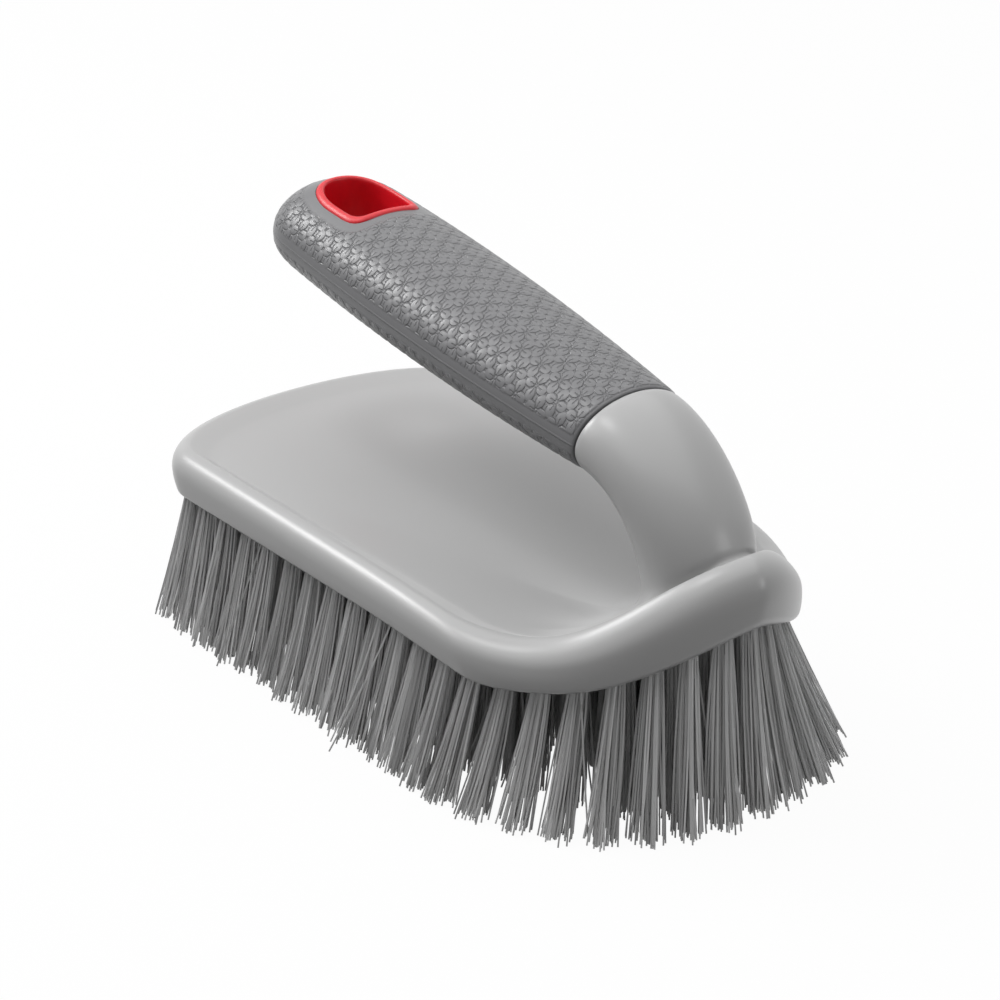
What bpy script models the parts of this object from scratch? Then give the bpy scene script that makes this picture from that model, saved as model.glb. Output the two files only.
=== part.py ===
"""Hand scrub brush: an iron-shaped block whose nose sweeps up into a neck, and a
soft grip over the handle that runs back above the block. All lengths in metres.

The brush stands on its bristle tips at z = 0. +X points to the nose, +Z is up,
and the mid-plane of the handle and the block is y = 0.
"""
import math

import bpy
import bmesh
import numpy as np
from mathutils import Matrix

# Block
TRIM_HEIGHT = 0.033          # lower edge of the block above the bristle tips
BLOCK_LENGTH = 0.172
BLOCK_WIDTH = 0.093
REAR_BOW = 0.0226            # length of the rounded rear end
REAR_POWER = 2.07            # 2 is an ellipse, more is squarer
PROW_LENGTH = 0.041          # length over which the sides close to the nose
PROW_POWER = 1.5
RIM_HEIGHT = 0.0103          # rim above the lower edge, half way along the block
RIM_FALL_SHARE = 0.0144      # how much lower the rim gets per length towards the nose
NOSE_RISE = 0.0218           # how much higher the rim is at the nose
NOSE_RISE_RUN = 0.0404
NOSE_RISE_POWER = 1.39       # higher keeps the start of the rise flatter
ARCH_RISE = 0.0165           # how much the lower edge lifts at the nose
ARCH_RUN = 0.026
NOSE_LEAN = 0.0017           # how much further the rim's crown stays back at the nose
PROW_LEAD = 0.0120           # how much earlier the rim's sides start to close
REAR_TUCK = 0.0010           # how far the lower edge stays inside the rim at the rear
RIM_INSET = 0.0050           # from the lower edge's outline in to the rim's crown
RIM_OUTER_INSET = 0.0013     # and in to the foot of the rim's rounded outside
RIM_ROUND_DEPTH = 0.0047     # height of the rim's rounded outside
RIM_NOSE_DEPTH = 0.0024      # how much deeper it is at the nose
DISH_DEPTH = 0.0010          # how far the top sinks inside the rim
DISH_RUN = 0.0080
EDGE_ROUND = 0.0006
LIP_WIDTH = 0.0024           # wall thickness at the lower edge
RECESS_DEPTH = 0.0024        # from the lower edge up to the backing
CEILING_GAP = 0.0003

# Tuft plate and tufts
PLATE_THICKNESS = 0.0016
SLICE_THICKNESS = 0.0018
PLATE_CLEARANCE = 0.0003
SLICE_CLEARANCE = 0.0009     # all round the rows, inside the block's lip
SLICE_GAP = 0.0004
ROW_COUNT = 22
ROW_END_MARGIN = 0.0010
TUFT_PITCH = 0.0125
TUFT_EDGE_MARGIN = 0.0041
TUFT_RADIUS = 0.0014         # from the tuft's middle to its strands
LIP_LEAN = 0.0012            # room that leaning strands need where they pass the lip
STRAND_RADIUS = 0.00085
STRAND_ROOT_DEPTH = 0.0012
TUFT_STRANDS = 3
TUFT_SPREAD = 2.1            # the tuft's girth at the tips over that at the roots
TIP_HALF_WIDTH = 0.0480      # to the middle of the outermost tufts' tips
TIP_END_POWER = 2.1          # the tips' outline is squarer at its ends than the block
TIP_FAN = 0.0120             # most that a tuft's tips lie outside its roots, across
REAR_FLARE = 0.0120          # how far the tips of the last row lie behind its roots
NOSE_FLARE = 0.0060
FLARE_POWER = 3

# Handle: the grip's axis runs back and up from the joint with the neck
JOINT_X = 0.0418
JOINT_HEIGHT = 0.0431        # above the block's lower edge
HANDLE_TILT = math.radians(9.1)
JOINT_HALF_WIDTH = 0.0153
JOINT_HALF_DEPTH = 0.0097
SWELL_SHARES = (0.70, -0.51)  # width gained per GIRTH_LENGTH, and its falling off
GIRTH_LENGTH = 0.100
GRIP_LENGTH = 0.1172
GRIP_END_ROUND = 0.0145
GRIP_END_POWER = 2.4
SLEEVE_WALL = 0.0028
SLEEVE_CLEARANCE = 0.0003
CORE_TO_HOLE = 0.0020        # soft wall between the core's tip and the hang hole
CORE_END_ROUND = 0.0080

# Neck
NECK_BASE_X = 0.0656
NECK_BASE_HALF_LENGTH = 0.0093
NECK_BASE_HALF_WIDTH = 0.0136
NECK_FILLET = 0.0065
NECK_FRONT_ROOM_SHARE = 0.8  # part of the room before the rim that the fillet takes
NECK_TOP_PULL = 0.036        # how far the neck carries on along the handle
NECK_BASE_PULL = 0.030
NECK_BASE_LEAN_SHARE = 0.22  # forward lean of the neck where it meets the block

# Hang hole
HOLE_LENGTH = 0.0222
HOLE_TO_END = 0.0074         # from the hole to the grip's free end
HOLE_WIDTH = 0.0200
HOLE_FRONT_SHARE = 0.42
HOLE_STRAIGHT_POWER = 6
HOLE_ROUND_POWER = 2.3
LINER_WALL = 0.0020
LINER_PROUD = 0.0002
LINER_CLEARANCE = 0.0003
CUT_OVERRUN = 0.010

# How finely round shapes are divided
REAR_STEPS = 8
SIDE_STEPS = 4
PROW_STEPS = 10
SLEEVE_STEPS = 18
END_STEPS = 6
NECK_STEPS = 12
HOLE_STEPS = 28
FILLET_STEPS = 3
RIM_STEPS = 4
SLICE_STEPS = 3
STRAND_SIDES = 3
DISH_SPREAD_SHARES = (0.25, 0.5, 0.75, 1.0)
DISH_RISE_SHARES = (0.7, 0.35, 0.1)

REAR_X = -BLOCK_LENGTH / 2
NOSE_X = BLOCK_LENGTH / 2
REAR_LINE = REAR_X + REAR_BOW
PROW_X = NOSE_X - PROW_LENGTH
RECESS_INSET = LIP_WIDTH + EDGE_ROUND
SLICE_INSET = RECESS_INSET + SLICE_CLEARANCE
HOLE_START = GRIP_LENGTH - HOLE_TO_END - HOLE_LENGTH
CORE_LENGTH = HOLE_START - LINER_CLEARANCE - CORE_TO_HOLE - SLEEVE_CLEARANCE
SLICE_TOP = RECESS_DEPTH + SLICE_THICKNESS
PLATE_BOTTOM = SLICE_TOP + CEILING_GAP
CEILING = PLATE_BOTTOM + PLATE_THICKNESS + CEILING_GAP


def clear_scene():
    """Remove every object, so that the model starts from nothing."""
    for item in list(bpy.data.objects):
        bpy.data.objects.remove(item, do_unlink=True)


def principled(name, colour, roughness):
    """A plain material in one colour."""
    material = bpy.data.materials.new(name)
    material.use_nodes = True
    shader = material.node_tree.nodes["Principled BSDF"]
    shader.inputs["Base Color"].default_value = (*colour, 1.0)
    shader.inputs["Roughness"].default_value = roughness
    shader.inputs["Metallic"].default_value = 0.0
    material.diffuse_color = (*colour, 1.0)
    return material


def body_plastic():
    """Glossy light grey polypropylene."""
    return principled("body_plastic", (0.42, 0.42, 0.42), 0.32)


def grip_rubber():
    """Matte mid grey soft-touch rubber."""
    return principled("grip_rubber", (0.17, 0.17, 0.17), 0.62)


def liner_plastic():
    """Red plastic of the hang hole."""
    return principled("liner_plastic", (0.62, 0.008, 0.02), 0.40)


def plate_plastic():
    """Darker grey plastic that holds the tufts."""
    return principled("plate_plastic", (0.20, 0.20, 0.20), 0.50)


def bristle_fibre():
    """Grey polypropylene filament."""
    return principled("bristle_fibre", (0.22, 0.22, 0.22), 0.45)


def outline_ends(inset, lift):
    """Rear, nose and prow line of the outline; lift is 0 at the lower edge and 1 at the rim."""
    rear = REAR_X + inset + REAR_TUCK * (1.0 - lift)
    nose = NOSE_X - inset - NOSE_LEAN * lift * inset / RIM_INSET
    return rear, nose, PROW_X - PROW_LEAD * lift


def closing(x, line, end, power):
    """Part of the full width left at x, where a shape closes from line to end."""
    share = min(max((x - line) / (end - line), 0.0), 1.0)
    return (1.0 - share ** power) ** (1.0 / power)


def half_width(x, inset, lift=0.0):
    """Half the block's width at x, for the outline drawn in by inset."""
    rear, nose, prow_line = outline_ends(inset, lift)
    half = BLOCK_WIDTH / 2 - inset
    return half * closing(x, REAR_LINE, rear, REAR_POWER) * closing(x, prow_line, nose, PROW_POWER)


def outline_stations(inset, lift):
    """Places along X at which the outline is drawn, closest where it turns most."""
    rear, nose, prow_line = outline_ends(inset, lift)
    stations = []
    for step in range(REAR_STEPS):
        turn = math.pi / 2 * step / REAR_STEPS
        stations.append(REAR_LINE - (REAR_LINE - rear) * math.cos(turn) ** (2 / REAR_POWER))
    for step in range(SIDE_STEPS):
        stations.append(REAR_LINE + (prow_line - REAR_LINE) * step / SIDE_STEPS)
    for step in range(PROW_STEPS + 1):
        turn = math.pi / 2 * step / PROW_STEPS
        stations.append(prow_line + (nose - prow_line) * math.sin(turn) ** (2 / PROW_POWER))
    return stations


def outline_ring(inset, lift):
    """The block's plan outline as a closed ring: rear centre, +Y side, nose, -Y side."""
    stations = outline_stations(inset, lift)
    side = [(x, half_width(x, inset, lift)) for x in stations]
    side[0] = (stations[0], 0.0)
    side[-1] = (stations[-1], 0.0)
    other = [(x, -y) for x, y in side[-2:0:-1]]
    return np.array(side + other)


def rise_share(x):
    """Part of the sweep up to the nose that is done at x."""
    run = min(max((x - (NOSE_X - NOSE_RISE_RUN)) / NOSE_RISE_RUN, 0.0), 1.0)
    return (1.0 - math.cos(math.pi * run ** NOSE_RISE_POWER)) / 2


def rim_top(x):
    """Height of the rim over the brush's lower edge: falling slightly, then swept up."""
    return RIM_HEIGHT - RIM_FALL_SHARE * x + NOSE_RISE * rise_share(x)


def rim_depth(x):
    """Height of the rim's rounded outside at x."""
    return RIM_ROUND_DEPTH + RIM_NOSE_DEPTH * rise_share(x)


def lower_edge(x):
    """Height of the lower edge, which arches up under the nose."""
    run = max((x - (NOSE_X - ARCH_RUN)) / ARCH_RUN, 0.0)
    return ARCH_RISE * run ** 2


def ring_at(inset, height, lift=0.0):
    """The outline drawn in by inset, each point lifted to height(x)."""
    plan = outline_ring(inset, lift)
    return np.array([(x, y, TRIM_HEIGHT + height(x)) for x, y in plan])


def recess_ring(clearance, height):
    """The leaning wall of the recess at height over the lower edge, drawn in by clearance."""
    inset = RECESS_INSET + clearance
    return ring_at(inset, lambda x: lower_edge(x) + height, height / CEILING)


def swell(s):
    """Girth of the grip at s along its axis, over its girth at the joint."""
    run = s / GIRTH_LENGTH
    return 1.0 + SWELL_SHARES[0] * run + SWELL_SHARES[1] * run ** 2


def end_round(s, length, rounding):
    """Closing of the rounded free end, from 1 down to 0 at the tip."""
    run = min(max((s - (length - rounding)) / rounding, 0.0), 1.0)
    return (1.0 - run ** GRIP_END_POWER) ** (1.0 / GRIP_END_POWER)


def handle_point(s, y, n):
    """A point at s along the handle's axis from the joint, y across and n up from it."""
    cosine = math.cos(HANDLE_TILT)
    sine = math.sin(HANDLE_TILT)
    x = JOINT_X - s * cosine + n * sine
    z = TRIM_HEIGHT + JOINT_HEIGHT + s * sine + n * cosine
    return (x, y, z)


def ring_angles():
    """Angles of a handle ring's points, in step with the block's outline."""
    count = len(outline_ring(0.0, 0.0))
    return [2 * math.pi * step / count for step in range(count)]


def handle_ring(s, shrink, length, rounding):
    """An oval ring round the handle's axis, its underside first, shrunk all round."""
    close = end_round(s, length, rounding)
    wide = (JOINT_HALF_WIDTH * swell(s) - shrink) * close
    deep = (JOINT_HALF_DEPTH * swell(s) - shrink) * close
    return np.array([handle_point(s, wide * math.sin(a), -deep * math.cos(a)) for a in ring_angles()])


def handle_stations(start, length, rounding):
    """Places along the handle, closer together where its end is rounded."""
    plain = length - rounding
    stations = [start + (plain - start) * step / SLEEVE_STEPS for step in range(SLEEVE_STEPS)]
    for step in range(END_STEPS):
        turn = math.pi / 2 * step / END_STEPS
        stations.append(plain + rounding * math.sin(turn))
    return stations


def handle_rings(start, shrink, length, rounding):
    """All rings of a handle shape from start to its rounded end."""
    stations = handle_stations(start, length, rounding)
    return [handle_ring(s, shrink, length, rounding) for s in stations]


def loft(name, rings, caps):
    """A closed body through rings of equal count. caps is 'fan' or 'cross' for each end."""
    mesh = bpy.data.meshes.new(name)
    work = bmesh.new()
    rows = [[work.verts.new(point) for point in ring] for ring in rings]
    count = len(rows[0])
    for lower, upper in zip(rows[:-1], rows[1:]):
        for i in range(count):
            j = (i + 1) % count
            work.faces.new((lower[i], lower[j], upper[j], upper[i]))
    for row, cap in zip((rows[0], rows[-1]), caps):
        if cap == "fan":
            work.faces.new(row)
        else:
            close_across(work, row)
    bmesh.ops.recalc_face_normals(work, faces=work.faces)
    work.to_mesh(mesh)
    work.free()
    item = bpy.data.objects.new(name, mesh)
    bpy.context.scene.collection.objects.link(item)
    return item


def close_across(work, row):
    """Close a ring that is its own mirror image over y = 0 with flat strips across it."""
    half = len(row) // 2
    work.faces.new((row[0], row[1], row[-1]))
    for i in range(1, half - 1):
        work.faces.new((row[i], row[i + 1], row[-i - 1], row[-i]))
    work.faces.new((row[half - 1], row[half], row[half + 1]))


def shade(item, material, angle):
    """Give the finish, with smooth shading broken at edges sharper than angle."""
    item.data.materials.clear()
    item.data.materials.append(material)
    item.data.shade_smooth()
    item.data.set_sharp_from_angle(angle=angle)


def as_cutter(item):
    """Mark a shape that only shapes another."""
    item.hide_render = True
    item.display_type = "WIRE"
    return item


def boolean(item, other, operation):
    """Cut, join or trim item by other with a live modifier."""
    modifier = item.modifiers.new(operation.lower(), "BOOLEAN")
    modifier.operation = operation
    modifier.object = other
    modifier.solver = "EXACT"


def neck_base():
    """Plan points, heights and fillet radii of the ring where the neck meets the block."""
    crown = outline_ring(RIM_INSET, 1.0)
    points = []
    for (crown_x, crown_y), angle in zip(crown, ring_angles()):
        x = NECK_BASE_X - NECK_BASE_HALF_LENGTH * math.cos(angle)
        y = NECK_BASE_HALF_WIDTH * math.sin(angle)
        room = math.hypot(crown_x - x, crown_y - y)
        points.append((x, y, min(NECK_FILLET, NECK_FRONT_ROOM_SHARE * room)))
    return points


def neck_rings(joint):
    """Rings of the neck, each point led by a smooth curve from the joint to the block."""
    along = np.array((math.cos(HANDLE_TILT), 0.0, -math.sin(HANDLE_TILT))) * NECK_TOP_PULL
    down = np.array((NECK_BASE_LEAN_SHARE, 0.0, -1.0)) * NECK_BASE_PULL
    base = np.array([(x, y, TRIM_HEIGHT + rim_top(x) + radius) for x, y, radius in neck_base()])
    rings = []
    for step in range(1, NECK_STEPS + 1):
        t = step / NECK_STEPS
        start_part = 2 * t ** 3 - 3 * t ** 2 + 1
        lead_part = t ** 3 - 2 * t ** 2 + t
        end_part = 3 * t ** 2 - 2 * t ** 3
        close_part = t ** 3 - t ** 2
        rings.append(start_part * joint + lead_part * along + end_part * base + close_part * down)
    return rings


def top_rings():
    """Rings of the block's top: the neck's fillet, the shallow dish and the rim's inside."""
    crown = outline_ring(RIM_INSET, 1.0)
    base = neck_base()
    rings = []
    for step in range(1, FILLET_STEPS + 1):
        angle = math.pi / 2 * step / FILLET_STEPS
        ring = []
        for (x, y, radius), (crown_x, crown_y) in zip(base, crown):
            room = math.hypot(crown_x - x, crown_y - y)
            share = radius * (1.0 - math.cos(angle)) / room
            px = x + (crown_x - x) * share
            py = y + (crown_y - y) * share
            sink = DISH_DEPTH * share
            ring.append((px, py, TRIM_HEIGHT + rim_top(px) + radius * (1.0 - math.sin(angle)) - sink))
        rings.append(ring)
    for spread in DISH_SPREAD_SHARES:
        rings.append(dish_ring(base, crown, spread, 1.0))
    for rise in DISH_RISE_SHARES:
        rings.append(dish_ring(base, crown, 1.0, rise))
    return [np.array(ring) for ring in rings]


def dish_ring(base, crown, spread, rise):
    """One ring of the dish: spread runs out to its edge, then rise falls to 0 at the rim."""
    ring = []
    for (x, y, radius), (crown_x, crown_y) in zip(base, crown):
        room = math.hypot(crown_x - x, crown_y - y)
        start = radius / room
        edge = max(1.0 - DISH_RUN / room, start + (1.0 - start) / 2)
        share = start + (edge - start) * spread
        if spread == 1.0:
            share = edge + (1.0 - edge) * (1.0 - rise)
        depth = DISH_DEPTH * min(room / DISH_RUN, 1.0) * rise * min(share / edge, 1.0)
        px = x + (crown_x - x) * share
        py = y + (crown_y - y) * share
        ring.append((px, py, TRIM_HEIGHT + rim_top(px) - depth))
    return ring


def rim_rings():
    """Rings from the rim's crown over its rounded outside to the wall's foot."""
    crown = outline_ring(RIM_INSET, 1.0)
    rings = []
    for step in range(RIM_STEPS + 1):
        angle = math.pi / 2 * step / RIM_STEPS
        plan = outline_ring(RIM_INSET + (RIM_OUTER_INSET - RIM_INSET) * math.sin(angle), 1.0)
        ring = []
        for (x, y), (crown_x, _) in zip(plan, crown):
            drop = rim_depth(crown_x) * (1.0 - math.cos(angle))
            ring.append((x, y, TRIM_HEIGHT + rim_top(crown_x) - drop))
        rings.append(np.array(ring))
    rings.append(ring_at(0.0, lambda x: lower_edge(x) + EDGE_ROUND))
    rings.append(ring_at(EDGE_ROUND, lower_edge))
    for height in (0.0, PLATE_BOTTOM, CEILING):
        rings.append(recess_ring(0.0, height))
    return rings


def build_body():
    """The one moulding: handle core, neck and the block open below for the tuft plate."""
    core = handle_rings(0.0, SLEEVE_WALL + SLEEVE_CLEARANCE, CORE_LENGTH, CORE_END_ROUND)
    joint = handle_ring(0.0, 0.0, GRIP_LENGTH, GRIP_END_ROUND)
    rings = core[::-1] + [joint] + neck_rings(joint) + top_rings() + rim_rings()
    item = loft("body_shell", rings, ("fan", "cross"))
    shade(item, body_plastic(), math.radians(35))
    return item


def hole_ring(inset, n):
    """The hang hole's outline: a bowed straight end and a rounded one, drawn in by inset."""
    middle = HOLE_START + HOLE_LENGTH * HOLE_FRONT_SHARE
    ring = []
    for step in range(HOLE_STEPS):
        angle = 2 * math.pi * step / HOLE_STEPS
        cosine = math.cos(angle)
        sine = math.sin(angle)
        reach = HOLE_LENGTH * (1.0 - HOLE_FRONT_SHARE)
        power = HOLE_ROUND_POWER
        if cosine < 0:
            reach = HOLE_LENGTH * HOLE_FRONT_SHARE
            power = HOLE_STRAIGHT_POWER
        s = middle + (reach - inset) * math.copysign(abs(cosine) ** (2 / power), cosine)
        y = (HOLE_WIDTH / 2 - inset) * math.copysign(abs(sine) ** (2 / power), sine)
        ring.append(handle_point(s, y, n))
    return ring


def hole_prism(name, inset):
    """A prism through the whole depth of the grip, with the hang hole's outline."""
    reach = JOINT_HALF_DEPTH * swell(HOLE_START) + CUT_OVERRUN
    item = loft(name, [hole_ring(inset, -reach), hole_ring(inset, reach)], ("fan", "fan"))
    return as_cutter(item)


def build_sleeve():
    """The soft grip: a wall of even thickness over the handle's core, closed at its end."""
    outer = handle_rings(SLEEVE_CLEARANCE, 0.0, GRIP_LENGTH, GRIP_END_ROUND)
    item = loft("grip_sleeve", outer, ("fan", "fan"))
    inner = handle_rings(0.0, SLEEVE_WALL, CORE_LENGTH + SLEEVE_CLEARANCE, CORE_END_ROUND)
    mouth = handle_ring(0.0, SLEEVE_WALL, GRIP_LENGTH, GRIP_END_ROUND)
    mouth = mouth + np.array(handle_point(-CUT_OVERRUN, 0.0, 0.0)) - np.array(handle_point(0.0, 0.0, 0.0))
    cavity = loft("sleeve_cavity", [mouth] + inner, ("fan", "fan"))
    boolean(item, as_cutter(cavity), "DIFFERENCE")
    boolean(item, hole_prism("hole_through_sleeve", -LINER_CLEARANCE), "DIFFERENCE")
    shade(item, grip_rubber(), math.radians(35))
    return item


def build_liner():
    """The red tube that lines the hang hole, trimmed to the grip's own surface."""
    item = loft("hang_hole_liner", liner_rings(), ("fan", "fan"))
    surface = handle_rings(0.0, -LINER_PROUD, GRIP_LENGTH, GRIP_END_ROUND)
    boolean(item, as_cutter(loft("grip_surface", surface, ("fan", "fan"))), "INTERSECT")
    boolean(item, hole_prism("hole_through_liner", LINER_WALL), "DIFFERENCE")
    shade(item, liner_plastic(), math.radians(35))
    return item


def liner_rings():
    """The two end rings of the liner before it is trimmed."""
    reach = JOINT_HALF_DEPTH * swell(HOLE_START) + CUT_OVERRUN / 2
    return [hole_ring(0.0, -reach), hole_ring(0.0, reach)]


def build_plate():
    """The plate that closes the block from below and carries the tuft rows."""
    bottom = recess_ring(PLATE_CLEARANCE, PLATE_BOTTOM)
    top = recess_ring(PLATE_CLEARANCE, PLATE_BOTTOM + PLATE_THICKNESS)
    item = loft("tuft_plate", [bottom, top], ("cross", "cross"))
    shade(item, plate_plastic(), math.radians(35))
    return item


def row_limits(index):
    """Where a row's slice of backing starts and ends along X."""
    rear = outline_ends(SLICE_INSET + ROW_END_MARGIN, 0.0)[0]
    nose = outline_ends(SLICE_INSET + ROW_END_MARGIN, 1.0)[1]
    pitch = (nose - rear) / ROW_COUNT
    return rear + pitch * index + SLICE_GAP / 2, rear + pitch * (index + 1) - SLICE_GAP / 2


def slice_body(name, start, end):
    """A slice of backing across the block, its ends on the plate's outline."""
    rings = []
    for step in range(SLICE_STEPS + 1):
        x = start + (end - start) * step / SLICE_STEPS
        foot = half_width(x, SLICE_INSET, RECESS_DEPTH / CEILING)
        head = half_width(x, SLICE_INSET, SLICE_TOP / CEILING)
        low = TRIM_HEIGHT + lower_edge(x) + RECESS_DEPTH
        high = low + SLICE_THICKNESS
        rings.append([(x, -foot, low), (x, foot, low), (x, head, high), (x, -head, high)])
    return loft(name, rings, ("fan", "fan"))


def tuft_tip(x, y, edge):
    """Middle of the tips of the tuft at (x, y), in a row whose last tuft stands at edge."""
    widest = TIP_HALF_WIDTH * closing(x, REAR_LINE, REAR_X, TIP_END_POWER)
    widest *= closing(x, PROW_X, NOSE_X, TIP_END_POWER)
    across = min(widest - edge, TIP_FAN) * (y / edge) * abs(y / edge)
    if x < 0:
        return x - REAR_FLARE * (x / REAR_X) ** FLARE_POWER, y + across
    return x + NOSE_FLARE * (x / NOSE_X) ** FLARE_POWER, y + across


def strand_lines(start, end):
    """Root and tip of each strand of a row: tufts across it, three strands in each."""
    middle = (start + end) / 2
    ends = (middle - TUFT_RADIUS - LIP_LEAN, middle + TUFT_RADIUS + LIP_LEAN)
    edge = min(half_width(x, SLICE_INSET, SLICE_TOP / CEILING) for x in ends) - TUFT_EDGE_MARGIN
    count = 1 + max(round(2 * edge / TUFT_PITCH), 1)
    lines = []
    for index in range(count):
        centre = edge * (2 * index / (count - 1) - 1)
        tip = tuft_tip(middle, centre, edge)
        for step in range(TUFT_STRANDS):
            turn = 2 * math.pi * step / TUFT_STRANDS
            offset = (TUFT_RADIUS * math.cos(turn), TUFT_RADIUS * math.sin(turn))
            lines.append(strand((middle, centre), tip, offset))
    return lines


def strand(tuft, tip, offset):
    """One strand of a tuft: its root inside the backing and its tip at z = 0."""
    dx, dy = offset
    height = TRIM_HEIGHT + lower_edge(tuft[0] + dx) + RECESS_DEPTH + STRAND_ROOT_DEPTH
    root = (tuft[0] + dx, tuft[1] + dy, height)
    return root, (tip[0] + dx * TUFT_SPREAD, tip[1] + dy * TUFT_SPREAD, 0.0)


def strands_body(name, lines):
    """All strands of one row as three-sided prisms, each a body of its own."""
    mesh = bpy.data.meshes.new(name)
    work = bmesh.new()
    for root, tip in lines:
        ends = []
        for x, y, z in (root, tip):
            turns = [2 * math.pi * step / STRAND_SIDES for step in range(STRAND_SIDES)]
            corners = [(x + STRAND_RADIUS * math.cos(a), y + STRAND_RADIUS * math.sin(a), z) for a in turns]
            ends.append([work.verts.new(corner) for corner in corners])
        upper, lower = ends
        work.faces.new(upper)
        work.faces.new(lower[::-1])
        for i in range(STRAND_SIDES):
            j = (i + 1) % STRAND_SIDES
            work.faces.new((upper[i], lower[i], lower[j], upper[j]))
    bmesh.ops.recalc_face_normals(work, faces=work.faces)
    work.to_mesh(mesh)
    work.free()
    item = bpy.data.objects.new(name, mesh)
    bpy.context.scene.collection.objects.link(item)
    return as_cutter(item)


def build_row(index, material):
    """One row of tufts with its slice of backing, as a single body."""
    start, end = row_limits(index)
    name = "tuft_row_%02d" % (index + 1)
    item = slice_body(name, start, end)
    boolean(item, strands_body(name + "_strands", strand_lines(start, end)), "UNION")
    shade(item, material, math.radians(35))
    return item


def tip_reach():
    """The lowest and highest X that the bristle tips reach."""
    tips = []
    for index in (0, ROW_COUNT - 1):
        tips += [tip[0] for _, tip in strand_lines(*row_limits(index))]
    return min(tips) - STRAND_RADIUS / 2, max(tips) + STRAND_RADIUS


def main():
    """Build every piece and hang it from one empty that centres the whole on the origin."""
    clear_scene()
    pieces = [build_body(), build_sleeve(), build_liner(), build_plate()]
    fibre = bristle_fibre()
    pieces += [build_row(index, fibre) for index in range(ROW_COUNT)]
    rear, front = tip_reach()
    block_rear = outline_ends(0.0, 0.0)[0]
    shift = -(min(rear, block_rear) + max(front, NOSE_X)) / 2
    origin = bpy.data.objects.new("brush_origin", None)
    bpy.context.scene.collection.objects.link(origin)
    origin.location.x = shift
    for item in list(bpy.data.objects):
        if item is not origin:
            item.parent = origin
            item.matrix_parent_inverse = Matrix.Identity(4)


main()
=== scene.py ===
"""Looks of the scrub brush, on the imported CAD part. All lengths in metres.

The brush stands on its bristles at z = 0, its nose towards +X. An iron-shaped block of
light grey polypropylene sweeps up at the nose into a neck. A soft grip with a moulded
petal pattern covers the handle that runs back from it, and a red liner edges its hang hole.
"""
import math
import random

import bmesh
import bpy
import numpy as np
from mathutils import Matrix, Vector


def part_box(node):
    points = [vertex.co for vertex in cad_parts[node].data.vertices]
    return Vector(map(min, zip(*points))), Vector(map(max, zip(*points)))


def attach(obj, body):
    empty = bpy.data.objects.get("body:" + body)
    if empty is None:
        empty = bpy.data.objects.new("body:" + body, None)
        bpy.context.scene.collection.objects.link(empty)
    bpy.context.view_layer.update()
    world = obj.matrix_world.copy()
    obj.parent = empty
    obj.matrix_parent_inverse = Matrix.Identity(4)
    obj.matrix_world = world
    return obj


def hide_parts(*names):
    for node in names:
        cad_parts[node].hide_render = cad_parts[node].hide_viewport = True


MM = 0.001

# Block, with the CAD part's sizes but for its sags and its wall, which is rounder
TRIM_HEIGHT = 33 * MM
BLOCK_LENGTH = 172 * MM
BLOCK_WIDTH = 93 * MM
REAR_BOW = 22.6 * MM
REAR_POWER = 2.07
PROW_LENGTH = 41 * MM
PROW_POWER = 1.5
PROW_BLEND = 8 * MM           # run on either side over which the outline is averaged
PROW_BLEND_SHARE = 0.4
BLEND_SHARES = (-1.0, -0.75, -0.5, -0.25, 0.0, 0.25, 0.5, 0.75, 1.0)
RIM_HEIGHT = 10.3 * MM
RIM_FALL_SHARE = 0.0144
NOSE_RISE = 21.8 * MM
NOSE_RISE_RUN = 40.4 * MM
NOSE_RISE_POWER = 1.39
ARCH_RISE = 16.5 * MM
ARCH_RUN = 26 * MM
NOSE_LEAN = 1.7 * MM
PROW_LEAD = 12 * MM
REAR_TUCK = 1 * MM
RIM_SAG = 1.6 * MM            # the block hangs a little lower where the prow begins
FOOT_SAG = 2.2 * MM
SAG_X = 46 * MM
SAG_RUN = 17 * MM
SHOULDER_LIFT = 0.5           # how far the prow leads at the wall's top and at its foot
FOOT_LIFT = 0.25
RIM_INSET = 5 * MM
RIM_OUTER_INSET = 0.4 * MM
RIM_ROUND_DEPTH = 4.7 * MM
RIM_NOSE_DEPTH = 2.4 * MM
DISH_DEPTH = 1 * MM
DISH_RUN = 8 * MM
DISH_SHARES = (0.17, 0.34, 0.5, 0.67, 0.84, 1.0)       # out from the neck to the dish's edge
BRINK_SHARES = (0.8, 0.55, 0.3, 0.1)                   # depth left on the way up to the rim
WALL_SHARES = (0.15, 0.3, 0.45, 0.6, 0.75, 0.9, 1.0)   # down the wall
EDGE_ROUND = 0.6 * MM
FOOT_ROUND = 1.4 * MM         # rounding of the outer lower edge
FOOT_TUCK = 1.2 * MM          # how far the wall has drawn in at its foot
LIP_WIDTH = 2.4 * MM
RECESS_DEPTH = 2.4 * MM
BACKING_TOP = 6.1 * MM        # top of the tuft plate above the lower edge
BACKING_GAP = 0.3 * MM        # round the plate, inside the block's lip
CEILING = 6.4 * MM            # roof of the block's recess above the lower edge

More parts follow.
